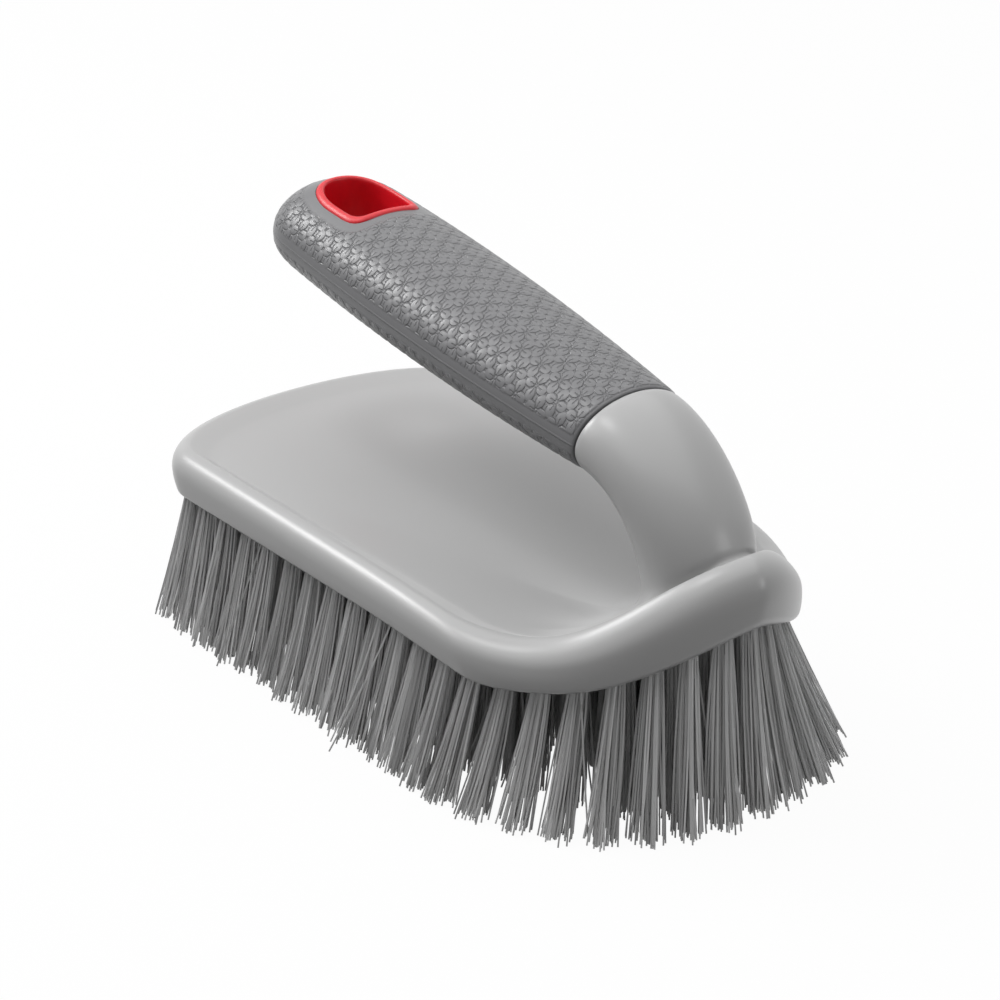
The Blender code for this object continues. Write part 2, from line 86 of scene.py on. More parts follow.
# Handle and grip
JOINT_X = 41.8 * MM
JOINT_HEIGHT = 43.1 * MM
HANDLE_TILT = math.radians(9.1)
JOINT_HALF_WIDTH = 15.3 * MM
JOINT_HALF_DEPTH = 9.7 * MM
SWELL_SHARES = (0.70, -0.51)
GIRTH_LENGTH = 100 * MM
GRIP_LENGTH = 117.2 * MM
GRIP_END_ROUND = 14.5 * MM
GRIP_END_POWER = 2.4
SLEEVE_WALL = 2.8 * MM
JOINT_GAP = 0.3 * MM
CORE_LENGTH = 84.7 * MM
CORE_END_ROUND = 8 * MM
CORE_SHARES = (0.995, 0.97, 0.9, 0.5, 0.1)
CORE_STEP = 0.4 * MM          # bevel of the neck's face that the grip meets
NECK_LAP = 0.35 * MM          # the neck's skin starts this far in front of the joint
SLEEVE_SHARES = (0.995, 0.97, 0.9, 0.5)
SLEEVE_EDGE = ((0.0, 0.5 * MM), (0.15 * MM, 0.12 * MM))  # place and shrink of the rounded edge
SLEEVE_PLAIN_START = 1 * MM
MIN_CLOSING = 0.05            # keeps the free end's girth above zero

# Neck, with tighter fillets than the CAD part's
NECK_BASE_X = 65.6 * MM
NECK_BASE_HALF_LENGTH = 9.3 * MM
NECK_BASE_HALF_WIDTH = 13.6 * MM
NECK_FILLET = 4.4 * MM
NECK_FRONT_FILLET = 2.6 * MM
NECK_TOP_PULL = 36 * MM
NECK_BASE_PULL = 30 * MM
NECK_BASE_LEAN_SHARE = 0.22
NECK_FRONT_POWER = 3          # how late the fillet narrows towards the front

# Hang hole, a little larger than the CAD part's
HOLE_LENGTH = 23 * MM
HOLE_TO_END = 7.5 * MM
HOLE_WIDTH = 20.4 * MM
HOLE_FRONT_SHARE = 0.42
HOLE_STRAIGHT_POWER = 5.2
HOLE_ROUND_POWER = 2.3
LINER_WALL = 2 * MM
LINER_PROUD = 0.6 * MM
LINER_INNER_SHARE = 0.4       # of the skin's height, where the tube's straight part begins
BORE_GAP = 0.05 * MM
BORE_OVERRUN = 10 * MM
LINER_PROFILE = (             # inset and rise over the skin of the lip, in shares
    (0.0, -0.6), (0.02, 0.1), (0.14, 0.62), (0.34, 0.93),
    (0.55, 1.0), (0.78, 0.8), (0.94, 0.25), (1.0, -0.7),
)

# Petal pattern of the grip: four-petalled rosettes on a lattice of rhombs
ROSETTE_HALF_PITCH = 3.34 * MM      # along the grip
ROSETTE_HALF_ROW = 4.2 * MM         # round the grip, from one row to the next
ROSETTE_PHASE = 2.28 * MM
PETAL_HALF_WIDTH = 1.28 * MM
PETAL_MIDDLE = 0.53                 # of the way from the rosette's middle to the petal's end
PETAL_HALF_LENGTH = 0.42
PETAL_POWER = 2.3
PETAL_GROOVE = 0.02 * MM            # half the ground left between neighbouring petals
GROOVE_WIDTH = 0.24 * MM            # half the groove along a petal's edge
PETAL_DOME = 0.12 * MM
PETAL_DEPTH = 0.17 * MM
SLIT_HALF_WIDTH = 0.13 * MM         # the slit along the middle of a petal
SLIT_EDGE_SHARES = (0.4, 1.4)
SLIT_MIDDLE = 0.32                  # on the way out along the petal
SLIT_HALF_LENGTHS = (0.17, 0.22)    # where it starts to fade and where it has gone
BAND_HALF_WIDTH = 2.0 * MM          # smooth band along the grip's widest line
HOLE_MARGIN = 2.3 * MM              # smooth ground round the hang hole
JOINT_MARGIN = 0.9 * MM
END_MARGIN = 1.5 * MM
END_FADE = 2 * MM
GROUND_FADE = 0.4 * MM
SKIN_SHARE = 0.03                   # how far from the oval a point still lies on the skin
OFF_SKIN = 5 * MM                   # way to the parting line given to the bore and the inside
PARTING_LINE = (0.10 * MM, 0.35 * MM)  # where its ridge starts to fade and where it has gone
PARTING_RIDGE_SHARE = 0.7

# Tufts: a ring along the wall, with rows across inside it
ROW_COUNT = 22
ROW_INSET = 4.9 * MM
RING_INSET = 6.6 * MM         # of the ring's middles from the block's outline
RING_PITCH = 8.1 * MM
RING_PITCH_LEAN = 0.13        # share by which they stand wider at the rear, closer at the nose
RING_LIFT = 0.6               # between the outline's foot, 0, and its rim, 1
TUFT_PITCH = 8.4 * MM         # across, inside the ring
TUFT_RING_GAP = 10.5 * MM     # from the ring to the outermost tufts inside it
TUFT_RADIUS = 1.85 * MM
FIBRES_PER_TUFT = 60
FIBRE_RADIUS = 0.25 * MM
FIBRE_ROOT_DEPTH = 1.2 * MM
TUFT_SPREAD = (1.6, 2.4)      # girth of a tuft at its tips over that at its roots
TIP_HALF_WIDTH = 46.3 * MM    # outline of the tips of the ring's tufts
TIP_REAR_X = -84.5 * MM
TIP_NOSE_X = 82.5 * MM
TIP_REAR_LINE = -64 * MM
TIP_PROW_LINE = 34 * MM
TIP_REAR_POWER = 2.6
TIP_PROW_POWERS = (2.0, 3.2)  # on the -Y and the +Y side, where the tufts are splayed more
TIP_SCATTER = 0.4 * MM
TIP_RISE = 1.6 * MM           # most that a filament is cut short
BOW_SCATTER = 0.35 * MM
STRAY_SCATTER = 3 * MM
STRAY_SHARE = 0.035           # filaments that lean out of their tuft
LEAN_POWER = 4                # rows lean out only near the ends
BEND_SHARE = 0.2              # of a filament's lean that comes towards its tip
SEED = 4100

# How finely round shapes are divided
REAR_STEPS = 16
SIDE_STEPS = 8
PROW_STEPS = 20
NECK_STEPS = 16
FILLET_STEPS = 4
RIM_STEPS = 6
FOOT_STEPS = 4
GRIP_RINGS = 72
GRIP_END_RINGS = 12
GRIP_POINTS = 68
HOLE_STEPS = 56
ARC_STEPS = 200
KNOTS = 60
OVAL_STEPS = 400
RING_TABLE_STEPS = 2000
RING_TABLE_START = 20 * MM
FIBRE_VERTICES = 4
FIBRE_BENDS = (0.25, 0.5, 0.75)
FORM_CREASE = math.radians(40)
GRIP_CREASE = math.radians(60)
FIBRE_CREASE = math.radians(60)
NEAR_ZERO = 1e-9              # stands in for a length of zero

# Colours and gloss
BODY_COLOUR = "#ABABAB"
BODY_ROUGHNESS = (0.26, 0.32)
GRIP_COLOUR = "#6E6E70"
# painted shade: the darker colour given to the grip's grooves and slits
GRIP_GROOVE_SHADE_COLOUR = "#606062"
GRIP_ROUGHNESS = 0.34
LINER_PLASTIC = ("polypropylene_red", "#D01020", 0.38)         # name, colour and roughness
PLATE_PLASTIC = ("polypropylene_dark_grey", "#606060", 0.5)
FIBRE_COLOURS = ("#A6A6A6", "#F4F4F4")
FIBRE_ROUGHNESS = 0.35
POLYPROPYLENE_IOR = 1.49
BLOOM = (60.0, 3.0)           # scale and detail of each noise
BODY_GRAIN = (900.0, 2.0)
BODY_GRAIN_STRENGTH = 0.05
BODY_GRAIN_DEPTH = 0.1 * MM
GRIP_GRAIN = (2500.0, 2.0)
GRIP_GRAIN_SHARE = 0.06

# Light: each lamp's watts, direction from the brush, distance and size
LAMPS = {
    "overhead": (14.0, (-0.12, 0.05, 1.0), 1.2, (2.0, 2.0)),
    "top": (1.3, (-0.22, -0.24, 0.94), 1.0, (0.22, 0.22)),
    "key": (3.3, (-0.68, -0.33, 0.63), 1.0, (0.3, 0.3)),
    "left": (3.2, (-0.56, -0.53, 0.64), 1.1, (0.6, 0.6)),
    "right": (1.6, (0.80, 0.40, 0.12), 1.1, (0.3, 0.6)),
}
LAMP_TARGET_HEIGHT = 50 * MM
WORLD_LIGHT = 0.20
FLOOR_SIZE = 6.0
FLOOR_DROP = 0.2 * MM
WHITE = (1.0, 1.0, 1.0, 1.0)
FLOOR_COLOUR = (0.15, 0.15, 0.15, 1.0)   # dark, so that it throws little light back up
FLOOR_GLOW = 0.8              # share of white glow that the camera sees on it
FLOOR_STRENGTH = 1.2

# Camera
CAMERA_TARGET = (-0.4 * MM, 44 * MM)   # along X and up
CAMERA_DISTANCE = 594.2 * MM
CAMERA_ANGLES = (50.43, 24.86, 1.32)   # azimuth, elevation and roll in degrees
CAMERA_LENS = 93.6
CAMERA_SENSOR = 36.0
CAMERA_CLIP = (0.01, 100.0)

REAR_X = -BLOCK_LENGTH / 2
NOSE_X = BLOCK_LENGTH / 2
REAR_LINE = REAR_X + REAR_BOW
PROW_X = NOSE_X - PROW_LENGTH
RECESS_INSET = LIP_WIDTH + EDGE_ROUND
TILT_COSINE = math.cos(HANDLE_TILT)
TILT_SINE = math.sin(HANDLE_TILT)
HOLE_START = GRIP_LENGTH - HOLE_TO_END - HOLE_LENGTH
HOLE_NEAR = HOLE_LENGTH * HOLE_FRONT_SHARE          # reach from its middle, towards the neck
HOLE_FAR = HOLE_LENGTH * (1.0 - HOLE_FRONT_SHARE)   # and towards the free end
HOLE_MIDDLE = HOLE_START + HOLE_NEAR

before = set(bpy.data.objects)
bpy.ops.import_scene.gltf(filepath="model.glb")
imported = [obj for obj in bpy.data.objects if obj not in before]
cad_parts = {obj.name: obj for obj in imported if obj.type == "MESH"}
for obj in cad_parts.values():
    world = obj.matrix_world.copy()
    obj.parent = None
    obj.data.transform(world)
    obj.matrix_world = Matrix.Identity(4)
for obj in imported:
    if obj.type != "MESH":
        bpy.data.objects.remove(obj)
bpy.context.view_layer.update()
# From the drawing below, in which the block's middle is at x = 0, to where the CAD part stands
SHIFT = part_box("body_shell")[0].x - (REAR_X + REAR_TUCK)


# Modelling by hand: rings are extruded one from the other and set in place.


def deselect():
    """Leave nothing selected, so that the next operator acts on its own piece alone."""
    bpy.ops.object.select_all(action="DESELECT")


def first_ring(name, places):
    """A circle with one point for each place, set there."""
    deselect()
    bpy.ops.mesh.primitive_circle_add(vertices=len(places), radius=1.0, fill_type="NOTHING")
    item = bpy.context.object
    item.name = name
    item.data.name = name
    item.data.attributes.new("post", "INT", "POINT")
    item.data.attributes["post"].data.foreach_set("value", range(len(places)))
    bpy.ops.object.mode_set(mode="EDIT")
    bpy.ops.mesh.select_all(action="SELECT")
    set_ring(item, places)
    return item


def set_ring(item, places):
    """Move the selected ring's points to their places; each keeps its post on the ring."""
    work = bmesh.from_edit_mesh(item.data)
    post = work.verts.layers.int["post"]
    for vert in work.verts:
        if vert.select:
            vert.co = places[vert[post]]
    bmesh.update_edit_mesh(item.data)


def next_ring(item, places):
    """Extrude the selected ring and set the new one in place."""
    bpy.ops.mesh.extrude_edges_move()
    set_ring(item, places)


def finish_form(item, level):
    """Turn the faces out, apply a subdivision surface of this level and shade smooth."""
    bpy.ops.mesh.select_all(action="SELECT")
    bpy.ops.mesh.normals_make_consistent(inside=False)
    bpy.ops.object.mode_set(mode="OBJECT")
    item.data.attributes.remove(item.data.attributes["post"])
    if level:
        smooth = item.modifiers.new("smooth", "SUBSURF")
        smooth.levels = level
        smooth.render_levels = level
        bpy.ops.object.modifier_apply(modifier="smooth")
    bpy.ops.object.shade_smooth_by_angle(angle=FORM_CREASE)


def ringed_form(name, rings, level=0, ends=("filled", "filled")):
    """A closed form through rings of places. ends says how its first and its last ring
    close: filled with one face, across with strips, or joined to each other."""
    item = first_ring(name, rings[0])
    if ends[0] == "filled":
        bpy.ops.mesh.edge_face_add()
    for places in rings[1:]:
        next_ring(item, places)
    if ends[1] == "filled":
        bpy.ops.mesh.edge_face_add()
    if "joined" in ends:
        bpy.ops.mesh.select_all(action="DESELECT")
        bpy.ops.mesh.select_non_manifold()
        bpy.ops.mesh.bridge_edge_loops()
    for first, end in ((True, ends[0]), (False, ends[1])):
        if end == "across":
            close_across(item, len(rings[0]), first)
    finish_form(item, level)
    return item


def close_across(item, count, first):
    """Close the first or last ring with strips across, as its height changes along X."""
    work = bmesh.from_edit_mesh(item.data)
    work.verts.ensure_lookup_table()
    post = work.verts.layers.int["post"]
    row = sorted(work.verts[:count] if first else work.verts[-count:], key=lambda vert: vert[post])
    half = count // 2
    work.faces.new((row[0], row[1], row[-1]))
    for i in range(1, half - 1):
        work.faces.new((row[i], row[i + 1], row[-i - 1], row[-i]))
    work.faces.new((row[half - 1], row[half], row[half + 1]))
    bmesh.update_edit_mesh(item.data)


# Shape of the block: outline, rim and lower edge.


def closing(x, line, end, power):
    """Part of the full width left at x, where a shape closes from line to end."""
    share = min(max((x - line) / (end - line), 0.0), 1.0)
    return (1.0 - share ** power) ** (1.0 / power)


def outline_ends(inset, lift):
    """Rear, nose and prow line; lift is 0 at the lower edge and 1 at the rim."""
    rear = REAR_X + inset + REAR_TUCK * (1.0 - lift)
    nose = NOSE_X - inset - NOSE_LEAN * lift * inset / RIM_INSET
    return rear, nose, PROW_X - PROW_LEAD * lift


def half_width(x, inset, lift=0.0):
    """Half the block's width at x, for the outline drawn in by inset."""
    rear, nose, prow_line = outline_ends(inset, lift)
    half = BLOCK_WIDTH / 2 - inset
    # The mean over a short run takes out the kink where the prow begins
    reach = min(PROW_BLEND, PROW_BLEND_SHARE * (nose - x))
    prow = [closing(x + reach * share, prow_line, nose, PROW_POWER) for share in BLEND_SHARES]
    return half * closing(x, REAR_LINE, rear, REAR_POWER) * sum(prow) / len(prow)


def outline_ring(inset, lift):
    """The block's plan outline: rear middle, +Y side, nose, -Y side."""
    rear, nose, prow_line = outline_ends(inset, lift)
    stations = []
    for step in range(REAR_STEPS):
        turn = math.pi / 2 * step / REAR_STEPS
        stations.append(REAR_LINE - (REAR_LINE - rear) * math.cos(turn) ** (2 / REAR_POWER))
    for step in range(SIDE_STEPS):
        stations.append(REAR_LINE + (prow_line - REAR_LINE) * step / SIDE_STEPS)
    for step in range(PROW_STEPS + 1):
        turn = math.pi / 2 * step / PROW_STEPS
        stations.append(prow_line + (nose - prow_line) * math.sin(turn) ** (2 / PROW_POWER))
    side = [(x, half_width(x, inset, lift)) for x in stations]
    side[0] = (stations[0], 0.0)
    side[-1] = (stations[-1], 0.0)
    return side + [(x, -y) for x, y in side[-2:0:-1]]


def rise_share(x):
    """Part of the sweep up to the nose that is done at x."""
    run = min(max((x - (NOSE_X - NOSE_RISE_RUN)) / NOSE_RISE_RUN, 0.0), 1.0)
    return (1.0 - math.cos(math.pi * run ** NOSE_RISE_POWER)) / 2


def sag(x):
    """How far the block's sag has come at x, from 0 to 1."""
    return math.exp(-((x - SAG_X) / SAG_RUN) ** 2)


def rim_top(x):
    """Height of the rim over the brush's lower edge: falling slightly, then swept up."""
    return RIM_HEIGHT - RIM_FALL_SHARE * x + NOSE_RISE * rise_share(x) - RIM_SAG * sag(x)


def rim_depth(x):
    """Height of the rim's rounded outside at x."""
    return RIM_ROUND_DEPTH + RIM_NOSE_DEPTH * rise_share(x)


def lower_edge(x):
    """Height of the lower edge, which arches up under the nose."""
    run = max((x - (NOSE_X - ARCH_RUN)) / ARCH_RUN, 0.0)
    return ARCH_RISE * run ** 2 - FOOT_SAG * sag(x)


def placed(x, y, z):
    """A place of the block's own drawing, moved to where the CAD part stands."""
    return Vector((x + SHIFT, y, z))


def level_ring(inset, height, lift=0.0):
    """The outline drawn in by inset, each point lifted to height(x)."""
    return [placed(x, y, TRIM_HEIGHT + height(x)) for x, y in outline_ring(inset, lift)]


def recess_ring(clearance, height):
    """The leaning wall of the recess at height over the lower edge, drawn in by clearance."""
    inset = RECESS_INSET + clearance
    lift = FOOT_LIFT + (SHOULDER_LIFT - FOOT_LIFT) * height / CEILING
    return level_ring(inset, lambda x: lower_edge(x) + height, lift)


# Shape of the handle.


def swell(s):
    """Girth of the grip at s along its axis, over its girth at the joint."""
    run = s / GIRTH_LENGTH
    return 1.0 + SWELL_SHARES[0] * run + SWELL_SHARES[1] * run ** 2


def end_round(s, length, rounding):
    """Closing of the rounded free end, from 1 down to 0 at the tip."""
    run = min(max((s - (length - rounding)) / rounding, 0.0), 1.0)
    return (1.0 - run ** GRIP_END_POWER) ** (1.0 / GRIP_END_POWER)


def handle_point(s, y, n):
    """A place at s along the handle's axis from the joint, y across and n up from it."""
    height = TRIM_HEIGHT + JOINT_HEIGHT + s * TILT_SINE + n * TILT_COSINE
    return placed(JOINT_X - s * TILT_COSINE + n * TILT_SINE, y, height)


def handle_ring(s, shrink, count, length=GRIP_LENGTH, rounding=GRIP_END_ROUND):
    """An oval ring at s round the handle's axis, its underside first, shrunk all round."""
    close = end_round(s, length, rounding)
    wide = (JOINT_HALF_WIDTH * swell(s) - shrink) * close
    deep = (JOINT_HALF_DEPTH * swell(s) - shrink) * close
    turns = [2 * math.pi * step / count for step in range(count)]
    return [handle_point(s, wide * math.sin(a), -deep * math.cos(a)) for a in turns]


# The body: block, neck and the handle's core in one moulding.


def neck_base(count):
    """Plan points and fillet radii of the ring where the neck meets the block."""
    points = []
    for step in range(count):
        angle = 2 * math.pi * step / count
        x = NECK_BASE_X - NECK_BASE_HALF_LENGTH * math.cos(angle)
        y = NECK_BASE_HALF_WIDTH * math.sin(angle)
        front = ((1.0 - math.cos(angle)) / 2) ** NECK_FRONT_POWER
        points.append((x, y, NECK_FILLET + (NECK_FRONT_FILLET - NECK_FILLET) * front))
    return points


def neck_rings(joint, base):
    """Rings of the neck, each point led by a smooth curve from the joint to the block."""
    along = Vector((TILT_COSINE, 0.0, -TILT_SINE)) * NECK_TOP_PULL
    down = Vector((NECK_BASE_LEAN_SHARE, 0.0, -1.0)) * NECK_BASE_PULL
    foot = [placed(x, y, TRIM_HEIGHT + rim_top(x) + radius) for x, y, radius in base]
    rings = []
    for step in range(1, NECK_STEPS + 1):
        t = step / NECK_STEPS
        start_part = 2 * t ** 3 - 3 * t ** 2 + 1
        lead_part = t ** 3 - 2 * t ** 2 + t
        end_part = 3 * t ** 2 - 2 * t ** 3
        close_part = t ** 3 - t ** 2
        rings.append([a * start_part + along * lead_part + b * end_part + down * close_part
                      for a, b in zip(joint, foot)])
    return rings


def top_point(base, crown, share, sink, rise=0.0):
    """A place on the block's top, at share of the way from the neck's foot to the rim."""
    x = base[0] + (crown[0] - base[0]) * share
    y = base[1] + (crown[1] - base[1]) * share
    return placed(x, y, TRIM_HEIGHT + rim_top(x) + rise - sink)


def top_rings(base, crown):
    """Rings of the block's top: the neck's fillet, the shallow dish and the rim's inside."""
    rings = []
    for step in range(1, FILLET_STEPS + 1):
        angle = math.pi / 2 * step / FILLET_STEPS
        ring = []
        for foot, edge in zip(base, crown):
            room = math.hypot(edge[0] - foot[0], edge[1] - foot[1])
            share = foot[2] * (1.0 - math.cos(angle)) / room
            rise = foot[2] * (1.0 - math.sin(angle))
            ring.append(top_point(foot, edge, share, DISH_DEPTH * share, rise))
        rings.append(ring)
    for spread in DISH_SHARES:
        rings.append([dish_point(foot, edge, spread, 1.0) for foot, edge in zip(base, crown)])
    for rise in BRINK_SHARES:
        rings.append([dish_point(foot, edge, 1.0, rise) for foot, edge in zip(base, crown)])
    return rings


def dish_point(foot, edge, spread, rise):
    """One place of the dish: spread runs out to its edge, then rise falls to 0 at the rim."""
    room = math.hypot(edge[0] - foot[0], edge[1] - foot[1])
    start = foot[2] / room
    brink = max(1.0 - DISH_RUN / room, start + (1.0 - start) / 2)
    share = start + (brink - start) * spread
    if spread == 1.0:
        share = brink + (1.0 - brink) * (1.0 - rise)
    depth = DISH_DEPTH * min(room / DISH_RUN, 1.0) * rise * min(share / brink, 1.0)
    return top_point(foot, edge, share, depth)


def wall_inset(share):
    """How far the wall stands in from the outline, from its top (0) to its foot (1)."""
    return RIM_OUTER_INSET + (FOOT_TUCK - RIM_OUTER_INSET) * share ** 2


def rim_rings(crown):
    """Rings from the rim's crown over its rounded outside, down the wall and under it."""
    rings = []
    for step in range(RIM_STEPS + 1):
        angle = math.pi / 2 * step / RIM_STEPS
        inset = RIM_INSET + (RIM_OUTER_INSET - RIM_INSET) * math.sin(angle)
        plan = outline_ring(inset, 1.0 + (SHOULDER_LIFT - 1.0) * math.sin(angle) ** 2)
        ring = []
        for (x, y), (crown_x, _) in zip(plan, crown):
            drop = rim_depth(crown_x) * (1.0 - math.cos(angle))
            ring.append(placed(x, y, TRIM_HEIGHT + rim_top(crown_x) - drop))
        rings.append(ring)
    shoulder = rings[-1]
    for share in WALL_SHARES:
        plan = outline_ring(wall_inset(share), SHOULDER_LIFT + (FOOT_LIFT - SHOULDER_LIFT) * share)
        ring = []
        for (x, y), top in zip(plan, shoulder):
            foot = TRIM_HEIGHT + lower_edge(x) + FOOT_ROUND
            ring.append(placed(x, y, top.z + (foot - top.z) * share))
        rings.append(ring)
    for step in range(1, FOOT_STEPS + 1):
        angle = math.pi / 2 * step / FOOT_STEPS
        inset = FOOT_TUCK + FOOT_ROUND * (1.0 - math.cos(angle))
        rise = FOOT_ROUND * (1.0 - math.sin(angle))
        rings.append(level_ring(inset, lambda x: lower_edge(x) + rise, FOOT_LIFT))
    rings.append(level_ring(RECESS_INSET - EDGE_ROUND / 2, lower_edge, FOOT_LIFT))
    for height in (EDGE_ROUND / 2, CEILING / 2, CEILING - EDGE_ROUND):
        rings.append(recess_ring(0.0, height))
    rings.append(recess_ring(EDGE_ROUND, CEILING))
    return rings


def build_body():
    """The one moulding: handle core, neck and the block, open below for the tufts."""
    crown = outline_ring(RIM_INSET, 1.0)
    count = len(crown)
    base = neck_base(count)
    inner = SLEEVE_WALL + JOINT_GAP
    core = [handle_ring(CORE_LENGTH * share, inner, count, CORE_LENGTH, CORE_END_ROUND)
            for share in CORE_SHARES]
    step = [handle_ring(0.0, inner, count), handle_ring(0.0, CORE_STEP, count)]
    joint = handle_ring(-NECK_LAP, 0.0, count)
    handle = core + step + [joint]
    rings = handle + neck_rings(joint, base) + top_rings(base, crown) + rim_rings(crown)
    return ringed_form("block_and_neck", rings, level=1, ends=("filled", "across"))


# The grip and its petal pattern.


def arc_table(s):
    """Angles from the crown line and the way round the grip's skin to each of them."""
    turns = np.linspace(0.0, math.pi / 2, ARC_STEPS)
    y = JOINT_HALF_WIDTH * swell(s) * np.sin(turns)
    n = JOINT_HALF_DEPTH * swell(s) * np.cos(turns)
    return turns, path_lengths(y, n)


def path_lengths(x, y):
    """The way along a line of places from its first one to each."""
    return np.concatenate([[0.0], np.cumsum(np.hypot(np.diff(x), np.diff(y)))])


def unroll(spots):
    """Place of each point of the grip on its unrolled skin: along it, round it from the
    crown line, and the way left to the widest line; also its height over the axis."""
    dx = spots[:, 0] - SHIFT - JOINT_X
    dz = spots[:, 2] - TRIM_HEIGHT - JOINT_HEIGHT
    s = -dx * TILT_COSINE + dz * TILT_SINE
    n = dx * TILT_SINE + dz * TILT_COSINE
    y = spots[:, 1]
    knots = np.linspace(0.0, GRIP_LENGTH, KNOTS)
    ways = np.array([arc_table(knot)[1] for knot in knots])
    turns = arc_table(0.0)[0]
    wide = JOINT_HALF_WIDTH * swell(s)
    deep = JOINT_HALF_DEPTH * swell(s)
    angle = np.arctan2(np.abs(y) / wide, np.abs(n) / deep)
    place = np.clip(s / GRIP_LENGTH, 0.0, 1.0) * (KNOTS - 1)
    low = np.clip(place.astype(int), 0, KNOTS - 2)
    part = place - low
    column = angle / turns[-1] * (ARC_STEPS - 1)
    left = np.clip(column.astype(int), 0, ARC_STEPS - 2)
    rest = column - left

    def way_at(row):
        return ways[row, left] * (1 - rest) + ways[row, left + 1] * rest

    way = way_at(low) * (1 - part) + way_at(low + 1) * part
    total = ways[low, -1] * (1 - part) + ways[low + 1, -1] * part
    return s, np.where(y < 0, -way, way), total - way, n


def hole_reach(s, y):
    """How far outside the hang hole's outline a place is, in metres."""
    u = np.where(s > HOLE_MIDDLE, (s - HOLE_MIDDLE) / HOLE_FAR, (HOLE_MIDDLE - s) / HOLE_NEAR)
    v = np.abs(y) / (HOLE_WIDTH / 2)
    power = np.where(s > HOLE_MIDDLE, HOLE_ROUND_POWER, HOLE_STRAIGHT_POWER)
    level = (u ** power + v ** power) ** (1.0 / power)
    return (level - 1.0) * HOLE_WIDTH / 2


def hole_ring(inset, height):
    """The hang hole's outline drawn in by inset, each place at its height(s, y)."""
    ring = []
    for step in range(HOLE_STEPS):
        angle = 2 * math.pi * step / HOLE_STEPS
        cosine = math.cos(angle)
        sine = math.sin(angle)
        if cosine < 0:
            reach, power = HOLE_NEAR, HOLE_STRAIGHT_POWER
        else:
            reach, power = HOLE_FAR, HOLE_ROUND_POWER
        s = HOLE_MIDDLE + (reach - inset) * math.copysign(abs(cosine) ** (2 / power), cosine)
        y = (HOLE_WIDTH / 2 - inset) * math.copysign(abs(sine) ** (2 / power), sine)
        ring.append(handle_point(s, y, height(s, y)))
    return ring


def skin_height(s, y):
    """Height of the grip's upper skin over the handle's axis."""
    close = end_round(s, GRIP_LENGTH, GRIP_END_ROUND)
    wide = JOINT_HALF_WIDTH * swell(s) * close
    return JOINT_HALF_DEPTH * swell(s) * close * math.sqrt(max(1.0 - (y / wide) ** 2, 0.0))


def petal_domes(x, y):
    """Height of the petals, 0 to 1, at (x, y) from the middle of a rosette."""
    u = np.abs(np.mod(x + ROSETTE_HALF_PITCH, 2 * ROSETTE_HALF_PITCH) - ROSETTE_HALF_PITCH)
    v = np.abs(np.mod(y + ROSETTE_HALF_ROW, 2 * ROSETTE_HALF_ROW) - ROSETTE_HALF_ROW)
    other = u / ROSETTE_HALF_PITCH + v / ROSETTE_HALF_ROW > 1.0
    u = np.where(other, ROSETTE_HALF_PITCH - u, u)
    v = np.where(other, ROSETTE_HALF_ROW - v, v)
    along = u * ROSETTE_HALF_ROW > v * ROSETTE_HALF_PITCH
    t = np.maximum(u / ROSETTE_HALF_PITCH, v / ROSETTE_HALF_ROW)
    q = np.where(along, v, u)
    reach = (np.abs(t - PETAL_MIDDLE) / PETAL_HALF_LENGTH) ** PETAL_POWER
    rim = 1.0 - (reach + (q / PETAL_HALF_WIDTH) ** PETAL_POWER) ** (1.0 / PETAL_POWER)
    slope = math.hypot(ROSETTE_HALF_PITCH, ROSETTE_HALF_ROW)
    beside = np.abs(ROSETTE_HALF_ROW * u - ROSETTE_HALF_PITCH * v) / slope - PETAL_GROOVE
    inside = np.clip(np.minimum(rim * PETAL_HALF_WIDTH, beside) / PETAL_HALF_WIDTH, 0.0, 1.0)
    return np.sqrt(1.0 - (1.0 - inside) ** 2)


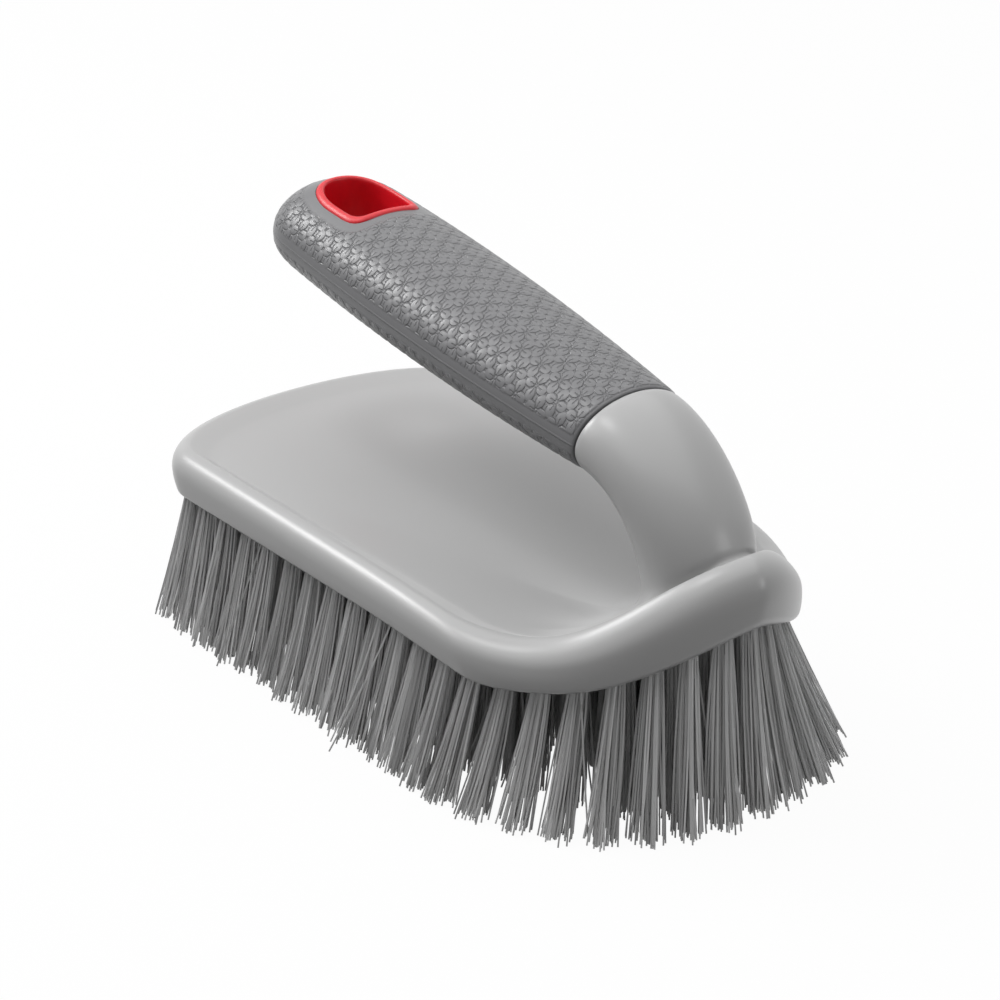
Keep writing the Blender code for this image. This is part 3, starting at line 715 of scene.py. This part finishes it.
def raise_petals(item):
    """Raise the petals on the grip's skin and keep its unrolled places for the material."""
    count = len(item.data.vertices)
    spots = np.empty(count * 3)
    item.data.vertices.foreach_get("co", spots)
    spots = spots.reshape(count, 3)
    s, arc, to_band, n = unroll(spots)
    y = spots[:, 1]
    close = np.array([end_round(v, GRIP_LENGTH, GRIP_END_ROUND) for v in s])
    wide = JOINT_HALF_WIDTH * swell(s) * np.maximum(close, MIN_CLOSING)
    deep = JOINT_HALF_DEPTH * swell(s) * np.maximum(close, MIN_CLOSING)
    level = np.sqrt((y / wide) ** 2 + (n / deep) ** 2)
    ground = np.clip((to_band - BAND_HALF_WIDTH) / GROUND_FADE, 0.0, 1.0)
    ground = ground * np.clip((hole_reach(s, y) - HOLE_MARGIN) / GROUND_FADE, 0.0, 1.0)
    ground = ground * np.clip((s - JOINT_MARGIN) / GROUND_FADE, 0.0, 1.0)
    ground = ground * np.clip((GRIP_LENGTH - END_MARGIN - s) / END_FADE, 0.0, 1.0)
    skin = (np.abs(level - 1.0) < SKIN_SHARE).astype(float)
    phase = np.where(n < 0, ROSETTE_HALF_PITCH, 0.0)
    along = s - ROSETTE_PHASE - phase
    around = arc - ROSETTE_HALF_ROW / 2
    rise = petal_domes(along, around) * ground * skin * PETAL_DOME
    outward = np.stack([np.zeros(count), y / wide ** 2, n / deep ** 2], axis=1)
    outward = outward / np.maximum(np.linalg.norm(outward, axis=1), NEAR_ZERO)[:, None]
    spots[:, 0] += rise * outward[:, 2] * TILT_SINE
    spots[:, 1] += rise * outward[:, 1]
    spots[:, 2] += rise * outward[:, 2] * TILT_COSINE
    item.data.vertices.foreach_set("co", spots.ravel())
    unrolled = item.data.attributes.new("unrolled", "FLOAT_VECTOR", "POINT")
    places = np.stack([along, around, ground * skin], axis=1)
    unrolled.data.foreach_set("vector", places.ravel().astype(np.float32))
    band = item.data.attributes.new("to_parting_line", "FLOAT", "POINT")
    band.data.foreach_set("value", np.where(skin > 0, to_band, OFF_SKIN).astype(np.float32))
    item.data.update()


def build_grip():
    """The soft grip: a sleeve over the core, bored for the hang hole, with raised petals."""
    length = CORE_LENGTH + JOINT_GAP
    rings = [handle_ring(length * share, SLEEVE_WALL, GRIP_POINTS, length, CORE_END_ROUND)
             for share in SLEEVE_SHARES]
    rings.append(handle_ring(JOINT_GAP, SLEEVE_WALL, GRIP_POINTS))
    rings += [handle_ring(JOINT_GAP + way, shrink, GRIP_POINTS) for way, shrink in SLEEVE_EDGE]
    plain = GRIP_LENGTH - GRIP_END_ROUND
    for step in range(GRIP_RINGS):
        way = SLEEVE_PLAIN_START + (plain - SLEEVE_PLAIN_START) * step / GRIP_RINGS
        rings.append(handle_ring(way, 0.0, GRIP_POINTS))
    for step in range(GRIP_END_RINGS):
        turn = math.pi / 2 * step / GRIP_END_RINGS
        rings.append(handle_ring(plain + GRIP_END_ROUND * math.sin(turn), 0.0, GRIP_POINTS))
    item = ringed_form("soft_grip", rings, level=2)
    reach = JOINT_HALF_DEPTH * swell(HOLE_START) + BORE_OVERRUN
    prism = ringed_form("hang_hole_bore", [hole_ring(-BORE_GAP, lambda s, y: -reach),
                                           hole_ring(-BORE_GAP, lambda s, y: reach)])
    deselect()
    bpy.context.view_layer.objects.active = item
    item.select_set(True)
    bore = item.modifiers.new("bore", "BOOLEAN")
    bore.operation = "DIFFERENCE"
    bore.solver = "EXACT"
    bore.object = prism
    bpy.ops.object.modifier_apply(modifier="bore")
    bpy.data.objects.remove(prism, do_unlink=True)
    raise_petals(item)
    bpy.ops.object.shade_smooth_by_angle(angle=GRIP_CREASE)
    return item


def build_liner():
    """The red liner: a tube through the grip with a rounded lip at either mouth."""
    def lip(rise):
        return lambda s, y: skin_height(s, y) + LINER_PROUD * rise

    def wall(s, y):
        return skin_height(s, y) * LINER_INNER_SHARE

    def mirrored(height):
        return lambda s, y: -height(s, y)

    upper = [(inset * LINER_WALL, lip(rise)) for inset, rise in LINER_PROFILE]
    upper = [(0.0, wall)] + upper + [(LINER_WALL, wall)]
    lower = [(inset, mirrored(height)) for inset, height in reversed(upper)]
    rings = [hole_ring(inset, height) for inset, height in upper + lower]
    return ringed_form("red_hole_liner", rings, level=1, ends=("joined", "joined"))


# The plate and its tufts.


def build_backing():
    """The plate inside the block that the tufts are set in."""
    low = recess_ring(BACKING_GAP, RECESS_DEPTH)
    high = recess_ring(BACKING_GAP, BACKING_TOP)
    return ringed_form("tuft_backing", [low, high], ends=("across", "across"))


def row_middle(index):
    """Place along X of a row of tufts."""
    rear = outline_ends(ROW_INSET, 0.0)[0]
    nose = outline_ends(ROW_INSET, 1.0)[1]
    return rear + (nose - rear) * (index + 0.5) / ROW_COUNT


def row_of(x):
    """The row whose band along X the place is in."""
    band = (x - row_middle(0)) / (row_middle(1) - row_middle(0))
    return min(max(round(band), 0), ROW_COUNT - 1)


def oval(line, end, half, power):
    """Places along a quarter of a rounded end, and the share of its length at each."""
    turns = np.linspace(0.0, math.pi / 2, OVAL_STEPS)
    x = line + (end - line) * np.sin(turns) ** (2 / power)
    y = half * np.cos(turns) ** (2 / power)
    way = path_lengths(x, y)
    return x, y, way / way[-1]


def ring_tip(x, y):
    """Where the ring tuft at (x, y) ends: as far round the outline of the tips as it stands."""
    rear, nose, prow_line = outline_ends(RING_INSET, RING_LIFT)
    half = BLOCK_WIDTH / 2 - RING_INSET
    if x < REAR_LINE:
        root = oval(REAR_LINE, rear, half, REAR_POWER)
        tip = oval(TIP_REAR_LINE, TIP_REAR_X, TIP_HALF_WIDTH, TIP_REAR_POWER)
        share = np.interp(-x, -root[0], root[2])
    elif x > prow_line:
        root = oval(prow_line, nose, half, PROW_POWER)
        tip = oval(TIP_PROW_LINE, TIP_NOSE_X, TIP_HALF_WIDTH, TIP_PROW_POWERS[y > 0])
        share = np.interp(x, root[0], root[2])
    else:
        share = (x - REAR_LINE) / (prow_line - REAR_LINE)
        tip_x = TIP_REAR_LINE + (TIP_PROW_LINE - TIP_REAR_LINE) * share
        return tip_x, math.copysign(TIP_HALF_WIDTH, y)
    tip_x = float(np.interp(share, tip[2], tip[0]))
    return tip_x, math.copysign(float(np.interp(share, tip[2], tip[1])), y)


def ring_tufts():
    """Roots and tips of the tufts along the wall, closer together towards the nose."""
    rear, nose, _ = outline_ends(RING_INSET, RING_LIFT)
    # Stations crowd at both ends, where the outline turns across the brush
    x = nose - (nose - rear) * np.linspace(1.0, 0.0, RING_TABLE_STEPS) ** 2
    start = rear + RING_TABLE_START * np.linspace(0.0, 1.0, OVAL_STEPS)[:-1] ** 2
    x = np.concatenate([start, x[x > rear + RING_TABLE_START]])
    y = np.array([half_width(value, RING_INSET, RING_LIFT) for value in x])
    way = path_lengths(x, y)
    steps = round(way[-1] / RING_PITCH)
    tufts = []
    for step in range(steps):
        part = (step + 0.5) / steps
        at = way[-1] * part * (1.0 + RING_PITCH_LEAN * (1.0 - part))
        root_x = float(np.interp(at, way, x))
        root_y = float(np.interp(at, way, y))
        for side in (-1.0, 1.0):
            tufts.append(((root_x, side * root_y), ring_tip(root_x, side * root_y)))
    return tufts


def inner_tufts(index):
    """Roots and tips of one row of tufts inside the ring."""
    x = row_middle(index)
    edge = half_width(x, RING_INSET, RING_LIFT)
    inside = edge - TUFT_RING_GAP
    if inside < 0:
        return []
    count = max(round(2 * inside / TUFT_PITCH), 1) + 1
    edge_x, edge_y = ring_tip(x, edge)
    end = TIP_REAR_X if x < 0 else TIP_NOSE_X
    own_end = outline_ends(RING_INSET, RING_LIFT)[0 if x < 0 else 1]
    tufts = []
    for number in range(count):
        y = inside * (2 * number / (count - 1) - 1)
        part = (y / edge) ** 2
        lean = (end - own_end) * (x / own_end) ** LEAN_POWER
        tip_x = x + lean * (1.0 - part) + (edge_x - x) * part
        tufts.append(((x, y), (tip_x, y + (edge_y - edge) * part * y / edge)))
    return tufts


def build_fibre():
    """One upright filament with places to bend at, modelled once for all."""
    deselect()
    bpy.ops.mesh.primitive_cylinder_add(vertices=FIBRE_VERTICES, radius=1.0, depth=1.0,
                                        location=(0.0, 0.0, 0.5))
    item = bpy.context.object
    bpy.ops.object.transform_apply(location=True, rotation=False, scale=False)
    bpy.ops.object.mode_set(mode="EDIT")
    for height in FIBRE_BENDS:
        bpy.ops.mesh.select_all(action="SELECT")
        bpy.ops.mesh.bisect(plane_co=(0.0, 0.0, height), plane_no=(0.0, 0.0, 1.0))
    bpy.ops.object.mode_set(mode="OBJECT")
    mesh = item.data
    spots = np.array([tuple(vert.co) for vert in mesh.vertices])
    faces = [tuple(face.vertices) for face in mesh.polygons]
    bpy.data.objects.remove(item, do_unlink=True)
    return spots, faces


def tuft_fibres(rng, root, tip, spots):
    """Places of all filaments of one tuft: the template's points moved onto each of them."""
    bent = []
    for _ in range(FIBRES_PER_TUFT):
        angle = rng.uniform(0.0, 2 * math.pi)
        reach = math.sqrt(rng.random()) * TUFT_RADIUS
        off = np.array((reach * math.cos(angle), reach * math.sin(angle), 0.0))
        start = root + off
        start[2] = TRIM_HEIGHT + lower_edge(start[0]) + RECESS_DEPTH + FIBRE_ROOT_DEPTH
        end = tip + off * rng.uniform(*TUFT_SPREAD)
        across, along = rng.gauss(0, TIP_SCATTER), rng.gauss(0, TIP_SCATTER)
        end = end + np.array((across, along, TIP_RISE * rng.random() ** 2))
        if rng.random() < STRAY_SHARE:
            end = end + np.array((rng.gauss(0, STRAY_SCATTER), rng.gauss(0, STRAY_SCATTER), 0.0))
        bow = np.array((rng.gauss(0, BOW_SCATTER), rng.gauss(0, BOW_SCATTER), 0.0))
        way = (end - start) / np.linalg.norm(end - start)
        side = np.cross(way, (0.0, 1.0, 0.0))
        side = side / np.linalg.norm(side)
        other = np.cross(way, side)
        run = spots[:, 2:3]
        lean = (1.0 - BEND_SHARE) * run + BEND_SHARE * run ** 2
        line = start + (end - start) * np.hstack([lean, lean, run])
        line = line + bow * (4 * run * (1 - run))
        bent.append(line + (side * spots[:, 0:1] + other * spots[:, 1:2]) * FIBRE_RADIUS)
    return bent


def build_row(index, ring, spots, faces):
    """One row of tufts across the block, each a bundle of filaments that fans out."""
    rng = random.Random(SEED + index)
    mine = [tuft for tuft in ring if row_of(tuft[0][0]) == index]
    bent = []
    for root, tip in mine + inner_tufts(index):
        bent += tuft_fibres(rng, np.array((*root, 0.0)), np.array((*tip, 0.0)), spots)
    places = np.concatenate(bent) + np.array((SHIFT, 0.0, 0.0))
    quads = [tuple(i + len(spots) * number for i in face)
             for number in range(len(bent)) for face in faces]
    tones = np.repeat([rng.random() for _ in bent], len(spots))
    mesh = bpy.data.meshes.new("fibres_of_row_%02d" % (index + 1))
    mesh.from_pydata(places.tolist(), [], quads)
    attribute = mesh.attributes.new("fibre_tone", "FLOAT", "POINT")
    attribute.data.foreach_set("value", tones.astype(np.float32))
    item = bpy.data.objects.new(mesh.name, mesh)
    bpy.context.scene.collection.objects.link(item)
    mesh.shade_smooth()
    mesh.set_sharp_from_angle(angle=FIBRE_CREASE)
    return item


# Materials.


def colour(code):
    """Linear colour of an sRGB hex code."""
    parts = [int(code[i:i + 2], 16) / 255 for i in (1, 3, 5)]
    return [c / 12.92 if c <= 0.04045 else ((c + 0.055) / 1.055) ** 2.4 for c in parts] + [1.0]


def new_material(name):
    """A new material, its node tree and its Principled shader."""
    material = bpy.data.materials.new(name)
    material.use_nodes = True
    return material, material.node_tree, material.node_tree.nodes["Principled BSDF"]


def node(tree, kind, inputs=(), **settings):
    """Add a node, set its properties and feed its inputs with values or other sockets."""
    made = tree.nodes.new(kind)
    for key, value in settings.items():
        setattr(made, key, value)
    for key, value in dict(inputs).items():
        shown = [socket for socket in made.inputs if socket.enabled and socket.name == key]
        socket = made.inputs[key] if isinstance(key, int) else shown[0]
        if isinstance(value, bpy.types.NodeSocket):
            tree.links.new(value, socket)
        else:
            socket.default_value = value
    return made


def result(made):
    """The output of a node that is in use, where several share a name."""
    return [socket for socket in made.outputs if socket.enabled][0]


def calc(tree, operation, *values):
    """The output of a Math node that works on these values or sockets, in order."""
    return node(tree, "ShaderNodeMath", dict(enumerate(values)), operation=operation).outputs[0]


def mapped(tree, value, start, end, low=0.0, high=1.0, curve="LINEAR"):
    """A value mapped from start and end to low and high, and held there outside them."""
    return node(tree, "ShaderNodeMapRange", {"Value": value, "From Min": start, "From Max": end,
                                             "To Min": low, "To Max": high},
                interpolation_type=curve).outputs["Result"]


def noise(tree, scale, detail):
    """Fine unevenness over the piece, by its own coordinates."""
    place = node(tree, "ShaderNodeTexCoord").outputs["Object"]
    made = node(tree, "ShaderNodeTexNoise", {"Vector": place, "Scale": scale, "Detail": detail})
    return made.outputs["Fac"]


def plain_plastic(name, code, roughness):
    """Polypropylene of one colour and gloss all over, as of the liner and the plate."""
    material, _, shader = new_material(name)
    shader.inputs["Base Color"].default_value = colour(code)
    shader.inputs["Roughness"].default_value = roughness
    return material


def body_plastic():
    """Injection moulded polypropylene: light grey and glossy, with a soft bloom in its
    highlights and a surface that isn't quite even."""
    material, tree, shader = new_material("polypropylene_light_grey")
    rough = mapped(tree, noise(tree, *BLOOM), 0.0, 1.0, *BODY_ROUGHNESS)
    grain = noise(tree, *BODY_GRAIN)
    bump = node(tree, "ShaderNodeBump", {"Height": grain, "Strength": BODY_GRAIN_STRENGTH,
                                         "Distance": BODY_GRAIN_DEPTH})
    shader.inputs["Base Color"].default_value = colour(BODY_COLOUR)
    shader.inputs["IOR"].default_value = POLYPROPYLENE_IOR
    tree.links.new(rough, shader.inputs["Roughness"])
    tree.links.new(bump.outputs["Normal"], shader.inputs["Normal"])
    return material


def grip_rubber():
    """Thermoplastic rubber moulded over the handle: dark grey and satin, with petals whose
    edges and slits catch the light, and painted shade darkening the grooves and slits. The pattern
    is worked out in metres on the unrolled skin."""
    material, tree, shader = new_material("thermoplastic_rubber_grey")
    skin = node(tree, "ShaderNodeAttribute", attribute_name="unrolled").outputs["Vector"]
    spot = node(tree, "ShaderNodeSeparateXYZ", {"Vector": skin}).outputs
    u = calc(tree, "PINGPONG", spot["X"], ROSETTE_HALF_PITCH)
    v = calc(tree, "PINGPONG", spot["Y"], ROSETTE_HALF_ROW)
    u_part = calc(tree, "DIVIDE", u, ROSETTE_HALF_PITCH)
    both = calc(tree, "MULTIPLY_ADD", v, 1.0 / ROSETTE_HALF_ROW, u_part)
    # Past the rhomb's edge the nearer rosette is the one of the next row
    other = calc(tree, "GREATER_THAN", both, 1.0)
    u = calc(tree, "ABSOLUTE", calc(tree, "MULTIPLY_ADD", other, -ROSETTE_HALF_PITCH, u))
    v = calc(tree, "ABSOLUTE", calc(tree, "MULTIPLY_ADD", other, -ROSETTE_HALF_ROW, v))
    # t runs out along the petal and q across it
    u_part = calc(tree, "DIVIDE", u, ROSETTE_HALF_PITCH)
    v_part = calc(tree, "DIVIDE", v, ROSETTE_HALF_ROW)
    t = calc(tree, "MAXIMUM", u_part, v_part)
    along = calc(tree, "GREATER_THAN", u_part, v_part)
    q = result(node(tree, "ShaderNodeMix", {"Factor": along, "A": u, "B": v}))
    t_off = calc(tree, "DIVIDE", calc(tree, "SUBTRACT", t, PETAL_MIDDLE), PETAL_HALF_LENGTH)
    t_off = calc(tree, "POWER", calc(tree, "ABSOLUTE", t_off), PETAL_POWER)
    q_off = calc(tree, "POWER", calc(tree, "DIVIDE", q, PETAL_HALF_WIDTH), PETAL_POWER)
    rim = calc(tree, "POWER", calc(tree, "ADD", t_off, q_off), 1.0 / PETAL_POWER)
    inside = calc(tree, "MULTIPLY_ADD", rim, -PETAL_HALF_WIDTH, PETAL_HALF_WIDTH)
    slope = math.hypot(ROSETTE_HALF_PITCH, ROSETTE_HALF_ROW)
    beside = calc(tree, "ABSOLUTE", calc(tree, "SUBTRACT", u_part, v_part))
    across = ROSETTE_HALF_PITCH * ROSETTE_HALF_ROW / slope
    beside = calc(tree, "MULTIPLY_ADD", beside, across, -PETAL_GROOVE)
    edge = calc(tree, "ABSOLUTE", calc(tree, "MINIMUM", inside, beside))
    petal = mapped(tree, edge, 0.0, GROOVE_WIDTH, curve="SMOOTHSTEP")
    # The slit along the petal's inner half
    wide = mapped(tree, q, *[share * SLIT_HALF_WIDTH for share in SLIT_EDGE_SHARES])
    reach = calc(tree, "ABSOLUTE", calc(tree, "SUBTRACT", t, SLIT_MIDDLE))
    slit = calc(tree, "MAXIMUM", wide, mapped(tree, reach, *SLIT_HALF_LENGTHS))
    petal = calc(tree, "MULTIPLY", calc(tree, "MULTIPLY", petal, slit), spot["Z"])
    line = node(tree, "ShaderNodeAttribute", attribute_name="to_parting_line").outputs["Fac"]
    line = mapped(tree, line, *PARTING_LINE, PARTING_RIDGE_SHARE, 0.0)
    height = calc(tree, "ADD", petal, line)
    height = calc(tree, "MULTIPLY_ADD", noise(tree, *GRIP_GRAIN), GRIP_GRAIN_SHARE, height)
    bump = node(tree, "ShaderNodeBump", {"Height": height, "Strength": 1.0,
                                         "Distance": PETAL_DEPTH})
    # Painted shade: the grooves and slits between the petals are coloured darker than the petals
    deep = calc(tree, "SUBTRACT", spot["Z"], petal)
    groove_shade_tint = node(tree, "ShaderNodeMix", {"Factor": deep, "A": colour(GRIP_COLOUR),
                                        "B": colour(GRIP_GROOVE_SHADE_COLOUR)}, data_type="RGBA")
    tree.links.new(result(groove_shade_tint), shader.inputs["Base Color"])
    shader.inputs["Roughness"].default_value = GRIP_ROUGHNESS
    tree.links.new(bump.outputs["Normal"], shader.inputs["Normal"])
    return material


def bristle_fibre():
    """Polypropylene filaments: grey and smooth, each a little lighter or darker than the
    next, so that single filaments show in a tuft."""
    material, tree, shader = new_material("polypropylene_filament_grey")
    tone = node(tree, "ShaderNodeAttribute", attribute_name="fibre_tone").outputs["Fac"]
    dark, pale = [colour(code) for code in FIBRE_COLOURS]
    mixed = node(tree, "ShaderNodeMix", {"Factor": tone, "A": dark, "B": pale}, data_type="RGBA")
    tree.links.new(result(mixed), shader.inputs["Base Color"])
    shader.inputs["Roughness"].default_value = FIBRE_ROUGHNESS
    return material


def dress(item, material, nodes):
    """Give a piece its finish, attach it to the root body and hide the CAD pieces it stands for.
    """
    item.data.materials.clear()
    item.data.materials.append(material)
    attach(item, "root")
    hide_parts(*nodes)


# The scene.


def light(name, energy, direction, distance, size):
    """An area light that looks at the middle of the brush from direction."""
    data = bpy.data.lights.new(name, "AREA")
    data.energy = energy
    data.shape = "RECTANGLE"
    data.size, data.size_y = size
    lamp = bpy.data.objects.new(name, data)
    bpy.context.scene.collection.objects.link(lamp)
    back = Vector(direction).normalized()
    lamp.location = Vector((SHIFT, 0.0, LAMP_TARGET_HEIGHT)) + back * distance
    lamp.rotation_mode = "QUATERNION"
    lamp.rotation_quaternion = back.to_track_quat("Z", "Y")


def seen_white(tree, path):
    """1 for the rays that see the surround and floor as white, and 0 for those that light."""
    return calc(tree, "MAXIMUM", path.outputs["Is Camera Ray"], path.outputs["Is Glossy Ray"])


def white_world():
    """A surround that is seen white and lights the brush softly."""
    world = bpy.data.worlds.new("white_surround")
    bpy.context.scene.world = world
    world.use_nodes = True
    tree = world.node_tree
    tree.nodes.clear()
    path = node(tree, "ShaderNodeLightPath")
    seen = calc(tree, "MAXIMUM", seen_white(tree, path), path.outputs["Is Transmission Ray"])
    strength = mapped(tree, seen, 0.0, 1.0, WORLD_LIGHT, 1.0)
    white = node(tree, "ShaderNodeBackground", {"Color": WHITE, "Strength": strength})
    node(tree, "ShaderNodeOutputWorld", {"Surface": white.outputs[0]})


def build_floor():
    """A floor that shows white to the camera but keeps the brush's shadow."""
    deselect()
    bpy.ops.mesh.primitive_plane_add(size=FLOOR_SIZE, location=(0.0, 0.0, -FLOOR_DROP))
    floor = bpy.context.object
    floor.name = "floor"
    material, tree, shader = new_material("white_floor")
    tree.nodes.remove(shader)
    plain = node(tree, "ShaderNodeBsdfDiffuse", {"Color": FLOOR_COLOUR})
    glow = node(tree, "ShaderNodeEmission", {"Color": WHITE, "Strength": FLOOR_STRENGTH})
    seen = seen_white(tree, node(tree, "ShaderNodeLightPath"))
    share = calc(tree, "MULTIPLY", seen, FLOOR_GLOW)
    both = node(tree, "ShaderNodeMixShader", {0: share, 1: plain.outputs[0], 2: glow.outputs[0]})
    tree.links.new(both.outputs[0], tree.nodes["Material Output"].inputs["Surface"])
    floor.data.materials.append(material)


def place_camera():
    """The photograph's view of the brush."""
    azimuth, elevation, roll = [math.radians(angle) for angle in CAMERA_ANGLES]
    level = math.cos(elevation)
    back = Vector((math.sin(azimuth) * level, -math.cos(azimuth) * level, math.sin(elevation)))
    right = Vector((math.cos(azimuth), math.sin(azimuth), 0.0))
    up = back.cross(right)
    turned_right = right * math.cos(roll) + up * math.sin(roll)
    turned_up = up * math.cos(roll) - right * math.sin(roll)
    data = bpy.data.cameras.new("camera")
    data.lens = CAMERA_LENS
    data.sensor_width = CAMERA_SENSOR
    data.clip_start, data.clip_end = CAMERA_CLIP
    camera = bpy.data.objects.new("camera", data)
    bpy.context.scene.collection.objects.link(camera)
    camera.rotation_mode = "QUATERNION"
    axes = Matrix((turned_right, turned_up, back)).transposed()
    camera.rotation_quaternion = axes.to_quaternion()
    target = Vector((CAMERA_TARGET[0] + SHIFT, 0.0, CAMERA_TARGET[1]))
    camera.location = target + back * CAMERA_DISTANCE
    bpy.context.scene.camera = camera
    bpy.context.scene.view_settings.view_transform = "Standard"


# Each piece is built and dressed, then lit.

dress(build_body(), body_plastic(), ["body_shell"])
dress(build_grip(), grip_rubber(), ["grip_sleeve"])
dress(build_liner(), plain_plastic(*LINER_PLASTIC), ["hang_hole_liner"])
dress(build_backing(), plain_plastic(*PLATE_PLASTIC), ["tuft_plate"])
fibre_spots, fibre_faces = build_fibre()
fibre = bristle_fibre()
ring = ring_tufts()
for row in range(ROW_COUNT):
    tufts = build_row(row, ring, fibre_spots, fibre_faces)
    dress(tufts, fibre, ["tuft_row_%02d" % (row + 1)])

white_world()
build_floor()
for name, settings in LAMPS.items():
    light(name, *settings)
place_camera()
